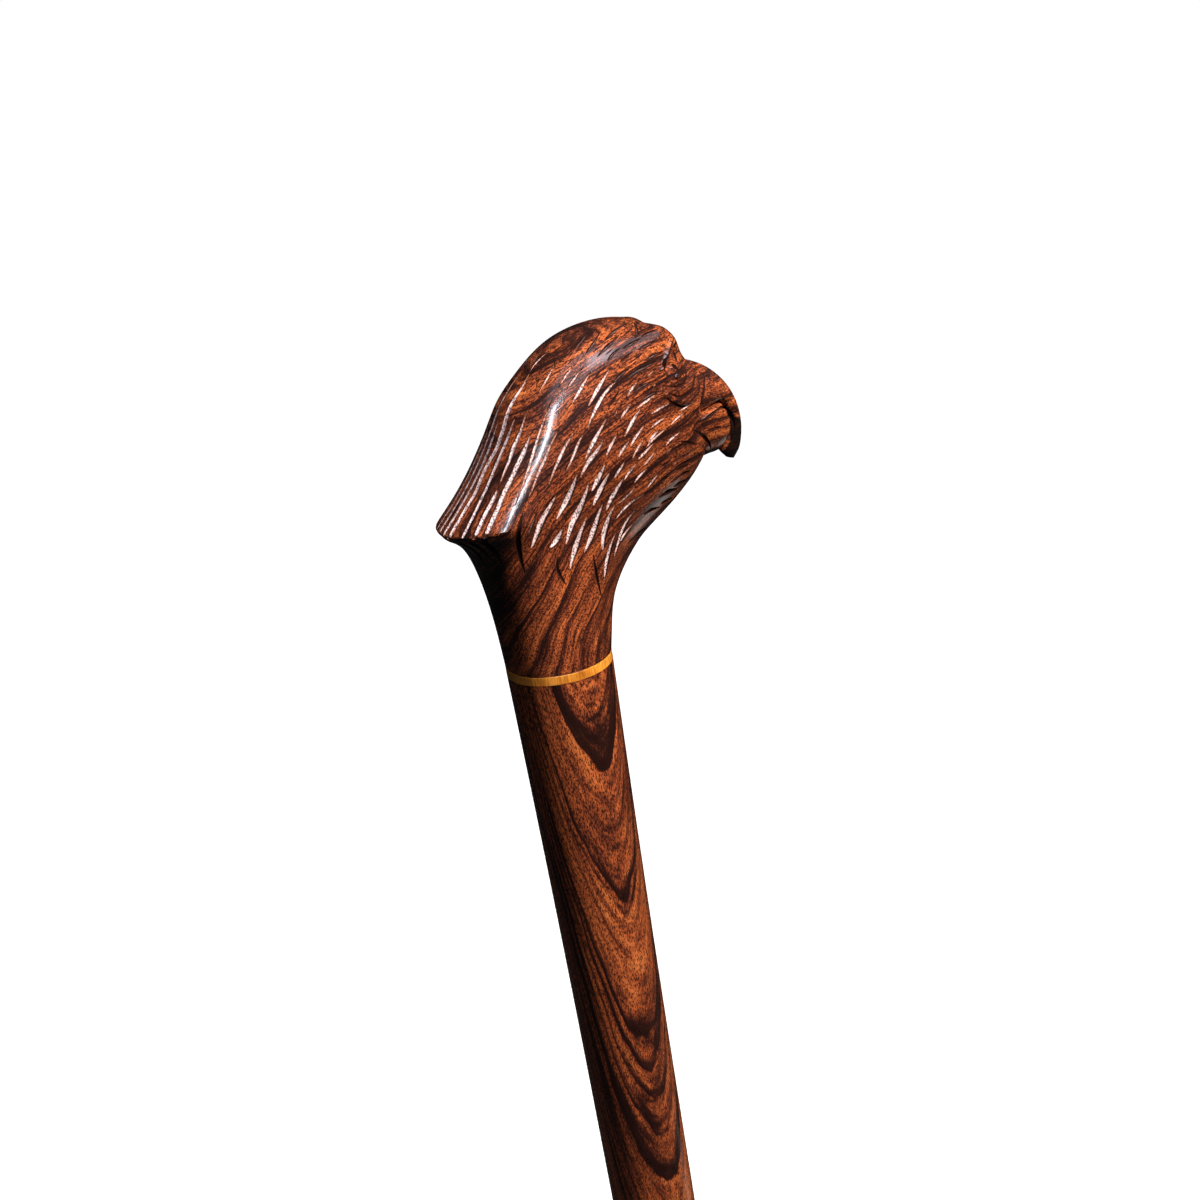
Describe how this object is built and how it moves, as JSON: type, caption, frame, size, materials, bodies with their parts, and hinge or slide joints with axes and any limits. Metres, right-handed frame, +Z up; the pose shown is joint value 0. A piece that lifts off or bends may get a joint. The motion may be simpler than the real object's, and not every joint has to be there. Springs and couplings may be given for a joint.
{
  "type": "walking cane",
  "caption": "Straight walking cane of dark wood with a carved eagle-head handle, a pale wood ring under it and a rubber tip.",
  "frame": {"origin": "centre of the rubber tip's flat sole, where the cane meets the ground", "axes": "+Z up the shaft, +X where the beak points, +Y to the eagle's left; the head mirrors across Y = 0"},
  "size_m": [0.0916, 0.0376, 0.9141],
  "materials": {
    "carved_dark_wood": "glossy varnish over carved grooves",
    "yellow_wood": "satin varnish",
    "turned_dark_wood": "glossy varnish",
    "dowel_steel": "plain drawn rod",
    "black_rubber": "matte moulded",
    "washer_steel": "plain pressed sheet"
  },
  "bodies": {
    "root": {"handle": "carved_dark_wood", "spacer_ring": "yellow_wood", "shaft": "turned_dark_wood", "joint_dowel": "dowel_steel", "rubber_tip": "black_rubber", "tip_washer": "washer_steel"}
  },
  "joints": []
}
